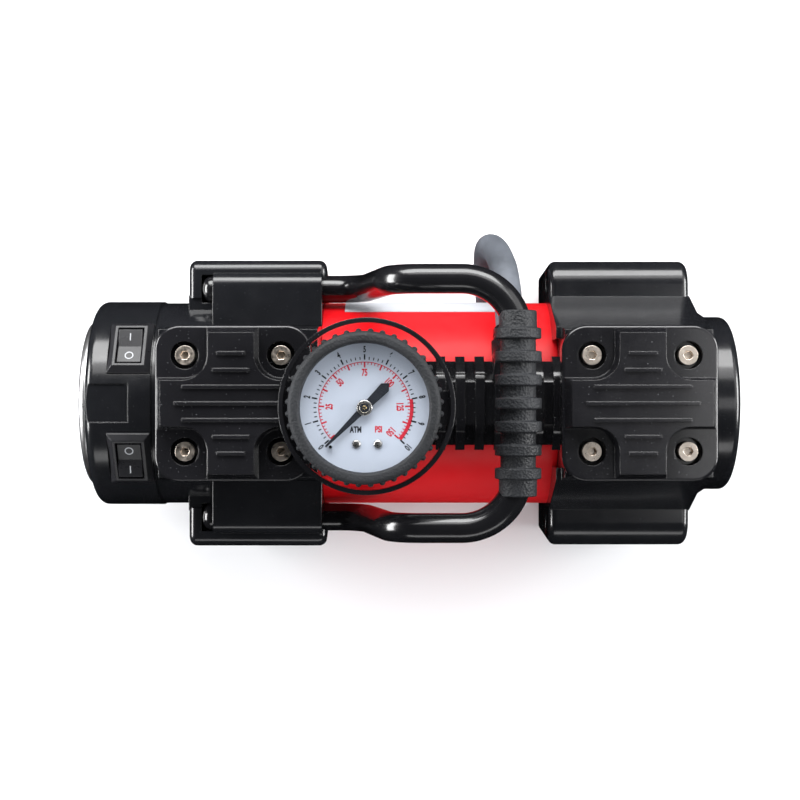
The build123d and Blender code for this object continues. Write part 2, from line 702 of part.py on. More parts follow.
# --- control housing ---
def on_tail(shape, tilt, radius=SWITCH_R, x=SWITCH_X):
    """Puts a shape drawn about its own origin, facing +Z, on the tail at an angle from the top."""
    return Pos(x, 0, 0) * Rot(-tilt, 0, 0) * Pos(0, 0, radius) * shape


def control_housing():
    """The round tail with a pocket for each switch and a shallow square recess between them."""
    x0, x1 = TAIL_X
    shell = rod_x(TAIL_R, x0, x1)
    rim = [e for e in shell.edges() if abs(e.center().X - x0) < 0.01 and e.radius > TAIL_R - 0.1]
    shell = fillet(rim, 3.6)
    shell -= rod_x(TAIL_R - TAIL_WALL, x0 + 3, x1 - 3)
    shell -= rod_x(CRANKCASE_R, x1 - 4, x1 + 1)
    shell -= rod_x(28.0, x0 - 1, x0 + 4)
    for tilt in (SWITCH_TILT, -SWITCH_TILT):
        pad = block(across(FRAME_W + 3), across(FRAME_H + 4), (-5, 0))
        shell += on_tail(pad, tilt) & rod_x(TAIL_R, x0 + 3, x1 - 1)
        shell -= on_tail(block(across(FRAME_W), across(FRAME_H), (-FRAME_SKIRT, 4)), tilt)
        shell -= on_tail(block(across(ROCKER_W + 2), across(ROCKER_H + 3), (-8, 1)), tilt)
    shell -= block((x0 - 1, SWITCH_X), (-7.25, 7.25), (TAIL_R - 1.2, TAIL_R + 1))
    return shell - gland_frame(rod_z(4.0, -9, 3))


def gland_frame(shape):
    """Puts a shape drawn along +Z on the lower front side of the tail, at its surface."""
    return Pos(-119.0, 0, 0) * Rot(135, 0, 0) * Pos(0, 0, TAIL_R) * shape


def cable_gland():
    """A short strain relief where the battery lead enters; its bore is open for a 6 mm lead."""
    gland = rod_z(4.0, -TAIL_WALL, 0.0) + rod_z(5.5, 0.0, 3.0) + rod_z(4.6, 3.0, 9.0)
    for z in (4.4, 6.2):
        gland -= ring_z(3.9, 6.0, z, z + 0.8)
    return gland_frame(gland - rod_z(3.0, -5, 10))


def switch_body(tilt):
    """A switch's square case, with the sloping frame that shows round the rocker."""
    case = block(across(ROCKER_W + 2), across(ROCKER_H + 3), (-14, 0))
    case += block(across(FRAME_W), across(FRAME_H), (-FRAME_SKIRT, 0))
    case += extrude(Rectangle(FRAME_W, FRAME_H), FRAME_RISE, taper=FRAME_SLOPE)
    case -= block(across(ROCKER_W + 0.6), across(ROCKER_H + 2), (-7.0, FRAME_RISE + 1))
    return on_tail(case, tilt)


def rocker(tilt, lean):
    """A rocker with a hollowed face. It swings about a line along X, level with its case's top."""
    half = ROCKER_H / 2
    points = [(-half, -3.5), (-half, 2.0), (0, 1.0), (half, 2.0), (half, -3.5)]
    key = along_x(points, across(ROCKER_W)) & rod_x(half + 0.45, -5, 5)
    return on_tail(Rot(lean, 0, 0) * key, tilt)


def lamp_bezel():
    x0 = LEFT_END
    bezel = rod_x(LAMP_R, x0, TAIL_X[0])
    rim = [e for e in bezel.edges() if abs(e.center().X - x0) < 0.01]
    bezel = fillet(rim, 2.6)
    bezel += rod_x(28.0, TAIL_X[0], TAIL_X[0] + 3)
    return bezel - rod_x(26.0, x0 - 1, TAIL_X[0] + 4)


def lamp_lens():
    return rod_x(26.0, LEFT_END + 0.8, LEFT_END + 2.6)


def lamp_reflector():
    cone = Pos(LEFT_END + 5.6, 0, 0) * Rot(0, 90, 0) * Cone(26.0, 9.0, 6.0)
    hollow = Pos(LEFT_END + 5.1, 0, 0) * Rot(0, 90, 0) * Cone(25.2, 8.0, 6.2)
    return cone - hollow - rod_x(8.0, LEFT_END, LEFT_END + 12)


def lamp_board():
    board = rod_x(12.0, LEFT_END + 8.8, LEFT_END + 10.2)
    return board + block((LEFT_END + 8.0, LEFT_END + 9.0), (-2.5, 2.5), (-2.5, 2.5))


# --- hose ---
def hose_points():
    """The hose's route: out of the ferrule, down round the motor's side and in under the motor."""
    return [
        (28.0, 27.0, 46.0),
        (28.0, 46.8, 34.6),
        (25.0, 60.0, 15.8),
        (22.5, 64.0, -6.8),
        (23.0, 58.0, -28.9),
        (25.0, 43.3, -46.4),
        (27.0, 22.6, -56.0),
        (27.0, -0.4, -56.0),
    ]


def hose_radii(points):
    """At each corner, the largest arc that its two runs allow."""
    radii = []
    for a, b, c in zip(points, points[1:], points[2:]):
        arrive = Vector(*b) - Vector(*a)
        leave = Vector(*c) - Vector(*b)
        half_turn = math.radians(arrive.get_angle(leave) / 2)
        radii.append(0.45 * min(arrive.length, leave.length) / math.tan(half_turn))
    return radii


def hose_path():
    points = hose_points()
    return FilletPolyline(*points, radius=hose_radii(points))


def delivery_hose():
    return tube_on(hose_path(), HOSE_R, HOSE_R - HOSE_WALL)


def coupler_frame(shape):
    """Puts a shape drawn along +Z at the hose's far end, running on under the motor."""
    return Pos(*hose_points()[-1]) * Rot(90, 0, 0) * shape


def coupler_body():
    """The quick coupler: a collar on the hose, a waist for the sleeve and the socket's mouth."""
    body = rod_z(7.0, 0, 8) + rod_z(6.2, 8, 33) + rod_z(7.4, 33, 35)
    return coupler_frame(body - rod_z(3.1, -1, 12) - rod_z(4.2, 11, 36))


def coupler_sleeve():
    """The sleeve that is pulled back along the coupler to let go of a plug."""
    sleeve_ = ring_z(6.2 + RUNNING, COUPLER_R, 15.0, 32.5)
    for z in (17.0, 19.0, 21.0):
        sleeve_ -= ring_z(COUPLER_R - 0.5, COUPLER_R + 1, z, z + 1)
    return coupler_frame(sleeve_)


def rating_label():
    """A thin plain label that wraps the motor's upper side."""
    skin = ring_x(CAN_R, CAN_R + 0.25, *LABEL_X)
    reach = 2 * CAN_R
    angles = [math.radians(a) for a in LABEL_ANGLES]
    wedge = along_x([(0, 0)] + [(reach * math.cos(a), reach * math.sin(a)) for a in angles], LABEL_X)
    return skin & wedge


def nodes():
    """Every piece by name."""
    left, right = CYLINDER_X
    found = {
        "motor_can": motor_can(),
        "rating_label": rating_label(),
        "motor_magnets": motor_magnets(),
        "motor_shaft": motor_shaft(),
        "armature_core": armature(),
        "armature_windings": armature_windings(),
        "commutator": commutator(),
        "brush_holder": brush_holder(),
        "carbon_brushes": brushes(),
        "shaft_bearings": bearings(),
        "through_bolts": through_bolts(),
        "left_block": left_block(),
        "right_block": right_block(),
        "handle_clamps": handle_clamps(),
        "rubber_feet": feet(),
        "right_end_cap": end_cap(),
        "deck_gaskets": [deck_gasket(x) for x in CYLINDER_X],
        "head_gaskets": [head_gasket(x) for x in CYLINDER_X],
        "left_crank": crank(left, 1),
        "right_crank": Rot(180, 0, 0) * crank(right, -1),
        "manifold": manifold(),
        "hose_nut": hose_nut(),
        "hose_ferrule": hose_ferrule(),
        "gauge_stem": gauge_stem(),
        "gauge_case": gauge_case(),
        "gauge_boot": gauge_boot(),
        "gauge_movement": gauge_movement(),
        "gauge_dial": gauge_dial(),
        "dial_screws": dial_screws(),
        "zero_pin": zero_pin(),
        "gauge_needle": gauge_needle(),
        "gauge_lens": gauge_lens(),
        "gauge_guard": gauge_guard(),
        "handle_tube": handle_tube(),
        "handle_grip": handle_grip(),
        "control_housing": control_housing(),
        "cable_gland": cable_gland(),
        "upper_switch_body": switch_body(SWITCH_TILT),
        "lower_switch_body": switch_body(-SWITCH_TILT),
        "upper_rocker": rocker(SWITCH_TILT, ROCK),
        "lower_rocker": rocker(-SWITCH_TILT, -ROCK),
        "lamp_bezel": lamp_bezel(),
        "lamp_lens": lamp_lens(),
        "lamp_reflector": lamp_reflector(),
        "lamp_board": lamp_board(),
        "delivery_hose": delivery_hose(),
        "coupler_body": coupler_body(),
        "coupler_sleeve": coupler_sleeve(),
    }
    for side, x in (("left", left), ("right", right)):
        found[f"{side}_cylinder_sleeve"] = sleeve(x)
        found[f"{side}_valve_plate"] = valve_plate(x)
        found[f"{side}_head_cover"] = head_cover(x)
        found[f"{side}_head_screws"] = head_screws(x)
        stroke = Pos(0, 0, PISTON_DROP[side])
        found[f"{side}_piston"] = stroke * piston(x)
        found[f"{side}_piston_seal"] = stroke * piston_seal(x)
    return found


def place(shape):
    """One compound of a piece's solids, standing on the floor."""
    pieces = shape if isinstance(shape, list) else [shape]
    solids = [s for piece in pieces for s in piece.solids()]
    moved = [LIFT * s for s in solids]
    return moved[0] if len(moved) == 1 else Compound(children=moved)


os.makedirs("parts", exist_ok=True)
for name, shape in nodes().items():
    export_step(place(shape), f"parts/{name}.step")

path = hose_path()
solid = delivery_hose().volume
ideal = math.pi * (HOSE_R**2 - (HOSE_R - HOSE_WALL) ** 2) * path.length
print("hose length", round(path.length, 1), "radii", [round(r, 1) for r in hose_radii(hose_points())])
print("hose volume against section times length", round(solid / ideal, 4))
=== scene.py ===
"""Looks for the twin-cylinder air compressor: materials, detailed pieces, hose, light and camera."""
import json
import math

import bmesh
import bpy
from mathutils import Matrix, Vector


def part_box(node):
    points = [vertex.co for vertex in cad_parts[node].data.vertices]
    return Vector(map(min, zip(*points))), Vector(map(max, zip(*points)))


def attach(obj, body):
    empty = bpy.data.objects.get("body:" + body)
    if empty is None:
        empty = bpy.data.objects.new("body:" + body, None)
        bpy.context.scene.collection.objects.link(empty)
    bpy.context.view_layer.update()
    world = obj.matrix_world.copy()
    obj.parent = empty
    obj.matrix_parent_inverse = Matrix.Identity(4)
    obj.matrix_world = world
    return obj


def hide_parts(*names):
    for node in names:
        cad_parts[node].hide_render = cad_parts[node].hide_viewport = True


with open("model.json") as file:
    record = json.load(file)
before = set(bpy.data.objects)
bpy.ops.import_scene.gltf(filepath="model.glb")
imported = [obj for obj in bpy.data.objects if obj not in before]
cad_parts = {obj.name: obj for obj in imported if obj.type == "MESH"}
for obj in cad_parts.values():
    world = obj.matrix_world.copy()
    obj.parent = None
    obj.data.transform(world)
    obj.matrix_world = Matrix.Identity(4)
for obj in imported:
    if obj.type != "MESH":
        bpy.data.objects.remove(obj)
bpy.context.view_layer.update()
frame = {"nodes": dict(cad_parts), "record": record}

MM = 0.001
BODY_OF = {node: body for body, nodes in frame["record"]["behaviour"]["bodies"].items() for node in nodes}
SLOT_OF = {part["node"]: part["material_slot"] for part in frame["record"]["subparts"]}


# --- places, all from the frame ---
def middle(node):
    low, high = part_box(node)
    return [(a + b) / 2 for a, b in zip(low, high)]


SHAFT_Z = middle("motor_can")[2]
GAUGE_X, GAUGE_Y = middle("gauge_case")[:2]
DIAL_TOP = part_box("gauge_dial")[1][2]
BOOT_LOW, BOOT_HIGH = (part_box("gauge_boot")[i][2] for i in (0, 1))
CAMERA_PLACE = (-3.5 * MM, 1.2 * MM, SHAFT_Z + 640 * MM)


# --- node helpers ---
DUST_GREY = (0.35, 0.36, 0.38)


def new_material(name):
    mat = bpy.data.materials.new(name)
    mat.use_nodes = True
    return mat, mat.node_tree.nodes, mat.node_tree.links, mat.node_tree.nodes["Principled BSDF"]


def noise(nodes, links, scale, detail=3.0, roughness=0.5, stretch=None):
    """Noise in object space, which is metres, so scale is lumps per metre."""
    where = nodes.new("ShaderNodeTexCoord")
    found = nodes.new("ShaderNodeTexNoise")
    found.inputs["Scale"].default_value = scale
    found.inputs["Detail"].default_value = detail
    found.inputs["Roughness"].default_value = roughness
    out = where.outputs["Object"]
    if stretch:
        mapping = nodes.new("ShaderNodeMapping")
        mapping.inputs["Scale"].default_value = stretch
        links.new(out, mapping.inputs["Vector"])
        out = mapping.outputs["Vector"]
    links.new(out, found.inputs["Vector"])
    return found.outputs["Fac"]


def spread(nodes, links, value, low, high, start=0.3, end=0.7):
    """Maps a noise value onto low to high."""
    node = nodes.new("ShaderNodeMapRange")
    node.inputs["From Min"].default_value = start
    node.inputs["From Max"].default_value = end
    node.inputs["To Min"].default_value = low
    node.inputs["To Max"].default_value = high
    links.new(value, node.inputs["Value"])
    return node.outputs["Result"]


def tint(nodes, links, value, dark, light, start=0.3, end=0.7):
    """Mixes two colours by a noise value."""
    ramp = nodes.new("ShaderNodeValToRGB")
    ramp.color_ramp.elements[0].position = start
    ramp.color_ramp.elements[0].color = (*dark, 1)
    ramp.color_ramp.elements[1].position = end
    ramp.color_ramp.elements[1].color = (*light, 1)
    links.new(value, ramp.inputs["Fac"])
    return ramp.outputs["Color"]


def worn_edges(nodes, radius):
    """A normal that rounds every sharp edge by a radius in mm, as moulding and paint do."""
    node = nodes.new("ShaderNodeBevel")
    node.samples = 6
    node.inputs["Radius"].default_value = radius * MM
    return node.outputs["Normal"]


def bump(nodes, links, layers, normal=None):
    """Chains (height output, strength, depth in mm) layers onto a normal, and gives the new one."""
    for height, strength, depth in layers:
        node = nodes.new("ShaderNodeBump")
        node.inputs["Strength"].default_value = strength
        node.inputs["Distance"].default_value = depth * MM
        links.new(height, node.inputs["Height"])
        if normal:
            links.new(normal, node.inputs["Normal"])
        normal = node.outputs["Normal"]
    return normal


def scaled(colour, by):
    return tuple(min(1.0, c * by) for c in colour)


def dusted(nodes, links, base, amount):
    """Adds small grey specks to a base colour."""
    mask = spread(nodes, links, noise(nodes, links, 1400.0, 1.0), 0.0, amount, 0.74, 0.80)
    blend = nodes.new("ShaderNodeMix")
    blend.data_type = "RGBA"
    links.new(mask, blend.inputs["Factor"])
    links.new(base, blend.inputs["A"])
    blend.inputs["B"].default_value = (*DUST_GREY, 1)
    return blend.outputs["Result"]


def coated(name, colour, rough, coat=0.0, coat_rough=0.05, metal=0.0, vary=0.18, patch=35.0, shine=0.4,
           rough_vary=0.05, grain=900.0, grain_depth=0.02, grain_strength=0.3, dust=0.0, edges=0.0):
    """A moulded, painted or cast surface: patchy colour and gloss over a fine grain, with light dust."""
    mat, nodes, links, shader = new_material(name)
    shader.inputs["Metallic"].default_value = metal
    shader.inputs["Specular IOR Level"].default_value = shine
    shader.inputs["Coat Weight"].default_value = coat
    shader.inputs["Coat Roughness"].default_value = coat_rough
    patches = noise(nodes, links, patch)
    base = tint(nodes, links, patches, scaled(colour, 1 - vary), scaled(colour, 1 + vary))
    if dust:
        base = dusted(nodes, links, base, dust)
    links.new(base, shader.inputs["Base Color"])
    smears = noise(nodes, links, patch * 4, 4.0, 0.6)
    gloss = spread(nodes, links, smears, rough - rough_vary, rough + rough_vary)
    links.new(gloss, shader.inputs["Roughness"])
    fine = noise(nodes, links, grain, 2.0)
    soft = noise(nodes, links, grain / 8, 1.0)
    layers = [(soft, grain_strength * 0.3, grain_depth), (fine, grain_strength, grain_depth)]
    rounded = worn_edges(nodes, edges) if edges else None
    links.new(bump(nodes, links, layers, rounded), shader.inputs["Normal"])
    return mat


def turned_metal(name, colour, rough, lines=2600.0, depth=0.004, stretch=(1, 1, 12)):
    """Bright metal with fine tool marks and patchy gloss."""
    mat, nodes, links, shader = new_material(name)
    shader.inputs["Metallic"].default_value = 1.0
    patches = noise(nodes, links, 260.0)
    base = tint(nodes, links, patches, scaled(colour, 0.8), scaled(colour, 1.1))
    links.new(base, shader.inputs["Base Color"])
    marks = noise(nodes, links, lines, 3.0, 0.6, stretch)
    links.new(spread(nodes, links, marks, rough * 0.7, rough * 1.4), shader.inputs["Roughness"])
    links.new(bump(nodes, links, [(marks, 0.35, depth)]), shader.inputs["Normal"])
    return mat


def rubber(name, colour, rough, grain=1100.0, depth=0.08, strength=0.55):
    """Matt rubber with a moulded leather-like grain and paler rubbed patches."""
    mat, nodes, links, shader = new_material(name)
    shader.inputs["Specular IOR Level"].default_value = 0.3
    rubbed = noise(nodes, links, 60.0, 5.0, 0.65)
    base = tint(nodes, links, rubbed, scaled(colour, 0.75), scaled(colour, 1.5))
    links.new(base, shader.inputs["Base Color"])
    links.new(spread(nodes, links, rubbed, rough - 0.08, rough + 0.1), shader.inputs["Roughness"])
    cells = nodes.new("ShaderNodeTexVoronoi")
    cells.inputs["Scale"].default_value = grain
    where = nodes.new("ShaderNodeTexCoord")
    links.new(where.outputs["Object"], cells.inputs["Vector"])
    fine = noise(nodes, links, grain * 2, 3.0)
    layers = [(cells.outputs["Distance"], strength, depth), (fine, strength * 0.6, depth * 0.5)]
    links.new(bump(nodes, links, layers), shader.inputs["Normal"])
    return mat


def clear_cover(name):
    """A thin clear window that leaves what is behind it bright."""
    mat, nodes, links, shader = new_material(name)
    shader.inputs["Base Color"].default_value = (0.06, 0.065, 0.07, 1)
    shader.inputs["Alpha"].default_value = 0.05
    shader.inputs["IOR"].default_value = 1.49
    haze = noise(nodes, links, 90.0, 4.0, 0.6)
    links.new(spread(nodes, links, haze, 0.02, 0.09), shader.inputs["Roughness"])
    return mat


def make_materials():
    """Every material, by its slot's name; three more, for prints and the boot, have no slot."""
    red, black = (0.62, 0.006, 0.010), (0.009, 0.009, 0.0105)
    return {
        "red_paint": coated("red_paint", red, 0.34, vary=0.06, shine=0.15, grain=700, grain_depth=0.008),
        "black_casting": coated("black_casting", (0.008, 0.0085, 0.010), 0.22, coat=0.4, coat_rough=0.12,
                                grain=1500, grain_depth=0.008, dust=0.06, edges=0.6),
        "gloss_black": coated("gloss_black", black, 0.20, coat=0.45, coat_rough=0.08, grain=600,
                              grain_depth=0.012, dust=0.22, edges=0.5),
        "tube_black": coated("tube_black", (0.006, 0.006, 0.007), 0.22, coat=0.6, coat_rough=0.10, grain=300,
                             grain_depth=0.006, rough_vary=0.02),
        "black_plastic": coated("black_plastic", (0.014, 0.014, 0.016), 0.30, grain=1800, grain_depth=0.012,
                                dust=0.08, edges=0.4),
        "rubber": rubber("rubber", (0.013, 0.014, 0.016), 0.48, depth=0.25, strength=1.0),
        "boot_rubber": rubber("boot_rubber", (0.013, 0.014, 0.016), 0.60, 1300, depth=0.18, strength=0.9),
        "hose_rubber": rubber("hose_rubber", (0.075, 0.082, 0.095), 0.40, grain=1700, depth=0.03),
        "steel": turned_metal("steel", (0.60, 0.59, 0.57), 0.28),
        "zinc_screw": turned_metal("zinc_screw", (0.90, 0.80, 0.70), 0.34, 900.0, 0.002, (1, 1, 1)),
        "chrome": turned_metal("chrome", (0.82, 0.83, 0.85), 0.08, 900.0, 0.002),
        "aluminium": turned_metal("aluminium", (0.76, 0.76, 0.77), 0.30),
        "cast_iron": turned_metal("cast_iron", (0.20, 0.20, 0.20), 0.45),
        "copper": turned_metal("copper", (0.75, 0.38, 0.20), 0.28),
        "brass": turned_metal("brass", (0.78, 0.60, 0.30), 0.24),
        "magnet": coated("magnet", (0.07, 0.07, 0.075), 0.6, grain=900, grain_depth=0.05),
        "carbon": coated("carbon", (0.03, 0.03, 0.03), 0.7, grain=1500, grain_depth=0.03),
        "fibre": coated("fibre", (0.06, 0.055, 0.05), 0.6, grain=1200, grain_depth=0.03),
        "dial_white": coated("dial_white", (0.50, 0.555, 0.65), 0.45, vary=0.03, grain=500,
                             grain_depth=0.004),
        "label_white": coated("label_white", (0.44, 0.45, 0.48), 0.40, vary=0.03, grain=900,
                              grain_depth=0.004),
        "needle_black": coated("needle_black", (0.010, 0.012, 0.018), 0.35, grain=900, grain_depth=0.004),
        "clear": clear_cover("clear"),
        "board": coated("board", (0.03, 0.16, 0.06), 0.4, grain=800, grain_depth=0.01),
        "dial_red": coated("dial_red", (0.55, 0.010, 0.030), 0.4, vary=0.08, grain=900, grain_depth=0.003),
        "mark_grey": coated("mark_grey", (0.42, 0.43, 0.45), 0.4, grain=900, grain_depth=0.003),
    }


MATERIALS = make_materials()


# --- mesh helpers ---
AXIS = 0.01    # a turned solid's smallest radius, in mm, so that its middle has no doubled points


def add_piece(name, mesh, body, slot, material=None):
    """Adds a mesh that rides on a body; its material is its slot's unless another is named."""
    piece = bpy.data.objects.new(name, mesh)
    bpy.context.scene.collection.objects.link(piece)
    mesh.materials.clear()
    mesh.materials.append(MATERIALS[material or slot])
    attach(piece, body)
    return piece


def mesh_from(bm, name, smooth_angle=35.0):
    mesh = bpy.data.meshes.new(name)
    bm.to_mesh(mesh)
    bm.free()
    for face in mesh.polygons:
        face.use_smooth = True
    mesh.set_sharp_from_angle(angle=math.radians(smooth_angle))
    return mesh


def lathe(bm, profile, steps=96, at=Matrix.Identity(4)):
    """Turns a closed (radius, height) outline, in mm, about Z."""
    rings = []
    for i in range(steps):
        turn = 2 * math.pi * i / steps
        c, s = math.cos(turn), math.sin(turn)
        rings.append([bm.verts.new(at @ Vector((r * c * MM, r * s * MM, h * MM))) for r, h in profile])
    count = len(profile)
    for a, b in zip(rings, rings[1:] + rings[:1]):
        for j in range(count):
            k = (j + 1) % count
            bm.faces.new((a[j], b[j], b[k], a[k]))


def arc(centre, radius, start, end, steps=6):
    """Points on an arc in (radius, height), from start to end degrees."""
    angles = [math.radians(start + (end - start) * i / steps) for i in range(steps + 1)]
    return [(centre[0] + radius * math.cos(a), centre[1] + radius * math.sin(a)) for a in angles]


# --- CAD nodes ---
# nodes whose look differs from their slot's
FINISHES = {"lamp_bezel": "aluminium", "lamp_reflector": "aluminium", "control_housing": "black_casting"}

WELD = 0.004          # vertices nearer than this, in mm, are one
FLAT_ANGLE = 0.6      # faces that meet at less than this, in degrees, are one
SHARP_ANGLE = 32.0    # edges that turn more than this, in degrees, are rounded

# how wide the edges of the visible nodes are rounded, in mm
SOFT_EDGES = {
    "left_block": 0.5, "right_block": 0.5, "handle_clamps": 0.4, "manifold": 0.3,
    "left_head_cover": 0.8, "right_head_cover": 0.8, "right_end_cap": 0.4,
    "control_housing": 0.35, "upper_switch_body": 0.2, "lower_switch_body": 0.2,
    "upper_rocker": 0.3, "lower_rocker": 0.3, "left_head_screws": 0.25, "right_head_screws": 0.25,
    "gauge_guard": 0.4, "hose_nut": 0.3, "hose_ferrule": 0.2, "gauge_needle": 0.08, "rubber_feet": 0.5,
    "left_valve_plate": 0.2, "right_valve_plate": 0.2, "motor_can": 0.25, "cable_gland": 0.2,
    "lamp_bezel": 0.25, "coupler_body": 0.2, "coupler_sleeve": 0.2,
}


def softened(node, width):
    """Stands for a CAD node with its own shape and rounded edges."""
    bm = bmesh.new()
    bm.from_mesh(frame["nodes"][node].data)
    bmesh.ops.remove_doubles(bm, verts=bm.verts, dist=WELD * MM)
    flat = math.radians(FLAT_ANGLE)
    bmesh.ops.dissolve_limit(bm, angle_limit=flat, verts=bm.verts, edges=bm.edges)
    mesh = mesh_from(bm, node, SHARP_ANGLE)
    piece = add_piece(f"{node}_finished", mesh, BODY_OF[node], SLOT_OF[node], FINISHES.get(node))
    rounding = piece.modifiers.new("rounding", "BEVEL")
    rounding.width = width * MM
    rounding.segments = 2
    rounding.limit_method = "ANGLE"
    rounding.angle_limit = math.radians(SHARP_ANGLE)
    shading = piece.modifiers.new("shading", "WEIGHTED_NORMAL")
    shading.weight = 100
    shading.keep_sharp = True
    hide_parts(node)


def finish_cad_nodes():
    """Every CAD node gets its slot's material, and the visible ones get rounded edges."""
    for node, piece in frame["nodes"].items():
        piece.data.materials.clear()
        piece.data.materials.append(MATERIALS[FINISHES.get(node, SLOT_OF[node])])
    for node, width in SOFT_EDGES.items():
        softened(node, width)


# --- gauge ---
def at_gauge(height):
    """The gauge's middle, at a height in mm above the dial."""
    return Matrix.Translation((GAUGE_X, GAUGE_Y, DIAL_TOP + height * MM))


BOOT_R = 26.3             # outside of the boot's wall
BOOT_WALL = 2.0
LIP_INNER_R = 22.3        # edge of the lip that covers the dial's rim
LIP_OUTER_BEND = 1.9
LIP_INNER_BEND = 0.9
STEM_HOLE_R = 10.0
NUBS = 40
NUB_SIZE = (1.3, 1.15, 4.6)   # half sizes outward, around and up
NUB_DROP = 6.2            # from the boot's top down to a nub's middle


def boot_profile(low, top):
    """(radius, height) round the boot's wall, between its lowest and highest points."""
    inside = BOOT_R - BOOT_WALL
    ledge = -0.6
    profile = [(LIP_INNER_R, ledge), (LIP_INNER_R, top - 2 * LIP_INNER_BEND)]
    profile += arc((LIP_INNER_R + 1.0, top - LIP_INNER_BEND), LIP_INNER_BEND, 170, 90, 4)
    profile += [(BOOT_R - LIP_OUTER_BEND, top)]
    profile += arc((BOOT_R - LIP_OUTER_BEND, top - LIP_OUTER_BEND), LIP_OUTER_BEND, 80, 0, 6)
    profile += [(BOOT_R, low + 0.8), (BOOT_R - 0.7, low), (STEM_HOLE_R, low), (STEM_HOLE_R, low + 0.5)]
    return profile + [(inside, low + 1.5), (inside, ledge)]


def gauge_boot():
    """The rubber sleeve: a rounded lip over the dial's edge and a ring of nubs."""
    top = (BOOT_HIGH - DIAL_TOP) / MM
    low = (BOOT_LOW - DIAL_TOP) / MM
    bm = bmesh.new()
    lathe(bm, boot_profile(low, top), 160, at_gauge(0))
    nub = Matrix.Diagonal((*(size * MM for size in NUB_SIZE), 1))
    outward = Matrix.Translation(((BOOT_R - 0.15) * MM, 0, (top - NUB_DROP) * MM))
    for i in range(NUBS):
        turn = Matrix.Rotation(2 * math.pi * (i + 0.5) / NUBS, 4, "Z")
        place = at_gauge(0) @ turn @ outward @ nub
        bmesh.ops.create_uvsphere(bm, u_segments=12, v_segments=10, radius=1.0, matrix=place)
    mesh = mesh_from(bm, "gauge_boot_rubber", 50)
    piece = add_piece("gauge_boot_rubber", mesh, "frame", "rubber", "boot_rubber")
    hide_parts("gauge_boot")


ZERO_ANGLE = 222.0    # degrees from +X to the zero mark
SWEEP = 264.0         # degrees from the zero mark to the full mark
ATM_FULL = 10
ATM_STEPS = 5         # ticks to each whole atm
PSI_FULL = 150
PSI_MAJOR = 12.5      # psi between the long ticks
PSI_STEPS = 5         # ticks to each long one
PSI_TO_ATM = ATM_FULL / PSI_FULL
PRINT = 0.04          # height of the print's middle above the dial
PRINT_T = 0.03
TICK_WIDE = 0.55
BOLDNESS = 0.12       # how far the lettering's outline is moved outward
ATM_NUMBERS_R = 20.1
PSI_NUMBERS_R = 12.1
ATM_TICKS = (16.6, 17.6, 18.5)    # radii: where the black ticks start, and short and long ends
PSI_TICKS = (13.9, 14.9, 15.8)    # radii: long and short ends of the red ticks, and where they start
DANGER_FROM = 8       # atm
DANGER_R = (15.7, 16.9)


def scale_angle(atm):
    """Radians from +X to a place on the dial."""
    return math.radians(ZERO_ANGLE - SWEEP * atm / ATM_FULL)


def radial_bar(bm, angle, inner, outer, width):
    """A printed tick from one radius to another, in mm."""
    outward = Matrix.Translation(((inner + outer) / 2 * MM, 0, 0))
    size = Matrix.Diagonal(((outer - inner) * MM, width * MM, PRINT_T * MM, 1))
    place = at_gauge(PRINT) @ Matrix.Rotation(angle, 4, "Z") @ outward @ size
    bmesh.ops.create_cube(bm, size=1.0, matrix=place)


def printed_arc(bm, first, last, inner, outer, height, steps):
    """A flat printed band between two radii in mm, from one place in atm to another."""
    start, end = scale_angle(first), scale_angle(last)
    edge = []
    for i in range(steps + 1):
        turn = start + (end - start) * i / steps
        out = Vector((math.cos(turn) * MM, math.sin(turn) * MM, 0))
        edge.append([bm.verts.new(at_gauge(height) @ (out * r)) for r in (inner, outer)])
    for a, b in zip(edge, edge[1:]):
        bm.faces.new((a[0], b[0], b[1], a[1]))


def add_text(bm, words, x, y, turn, size, squeeze):
    """Adds flat lettering to a mesh, centred at x, y in mm from the gauge's middle."""
    curve = bpy.data.curves.new("words", "FONT")
    curve.body = words
    curve.align_x, curve.align_y = "CENTER", "CENTER"
    curve.size = size * MM
    curve.offset = BOLDNESS * MM
    maker = bpy.data.objects.new("words", curve)
    mesh = bpy.data.meshes.new_from_object(maker)
    place = at_gauge(PRINT) @ Matrix.Translation((x * MM, y * MM, 0)) @ Matrix.Rotation(turn, 4, "Z")
    mesh.transform(place @ Matrix.Diagonal((squeeze, 1, 1, 1)))
    bm.from_mesh(mesh)
    bpy.data.objects.remove(maker)
    bpy.data.meshes.remove(mesh)


def scale_numbers(bm, radius, size, values):
    """Numbers round the dial with their tops outward; values holds (number, its place in atm)."""
    for number, atm in values:
        angle = scale_angle(atm)
        x, y = radius * math.cos(angle), radius * math.sin(angle)
        add_text(bm, str(number), x, y, angle - math.pi / 2, size, 0.62)


def black_scale():
    """Atm: ticks outward from their start, and the numbers outside them."""
    bm = bmesh.new()
    start, short, long = ATM_TICKS
    for i in range(ATM_FULL * ATM_STEPS + 1):
        end, width = (short, 0.34) if i % ATM_STEPS else (long, TICK_WIDE)
        radial_bar(bm, scale_angle(i / ATM_STEPS), start, end, width)
    scale_numbers(bm, ATM_NUMBERS_R, 3.0, [(n, n) for n in range(ATM_FULL + 1)])
    add_text(bm, "ATM", -3.05, -7.6, 0, 2.95, 0.66)
    add_piece("dial_black_scale", mesh_from(bm, "dial_black_scale"), "frame", "needle_black")


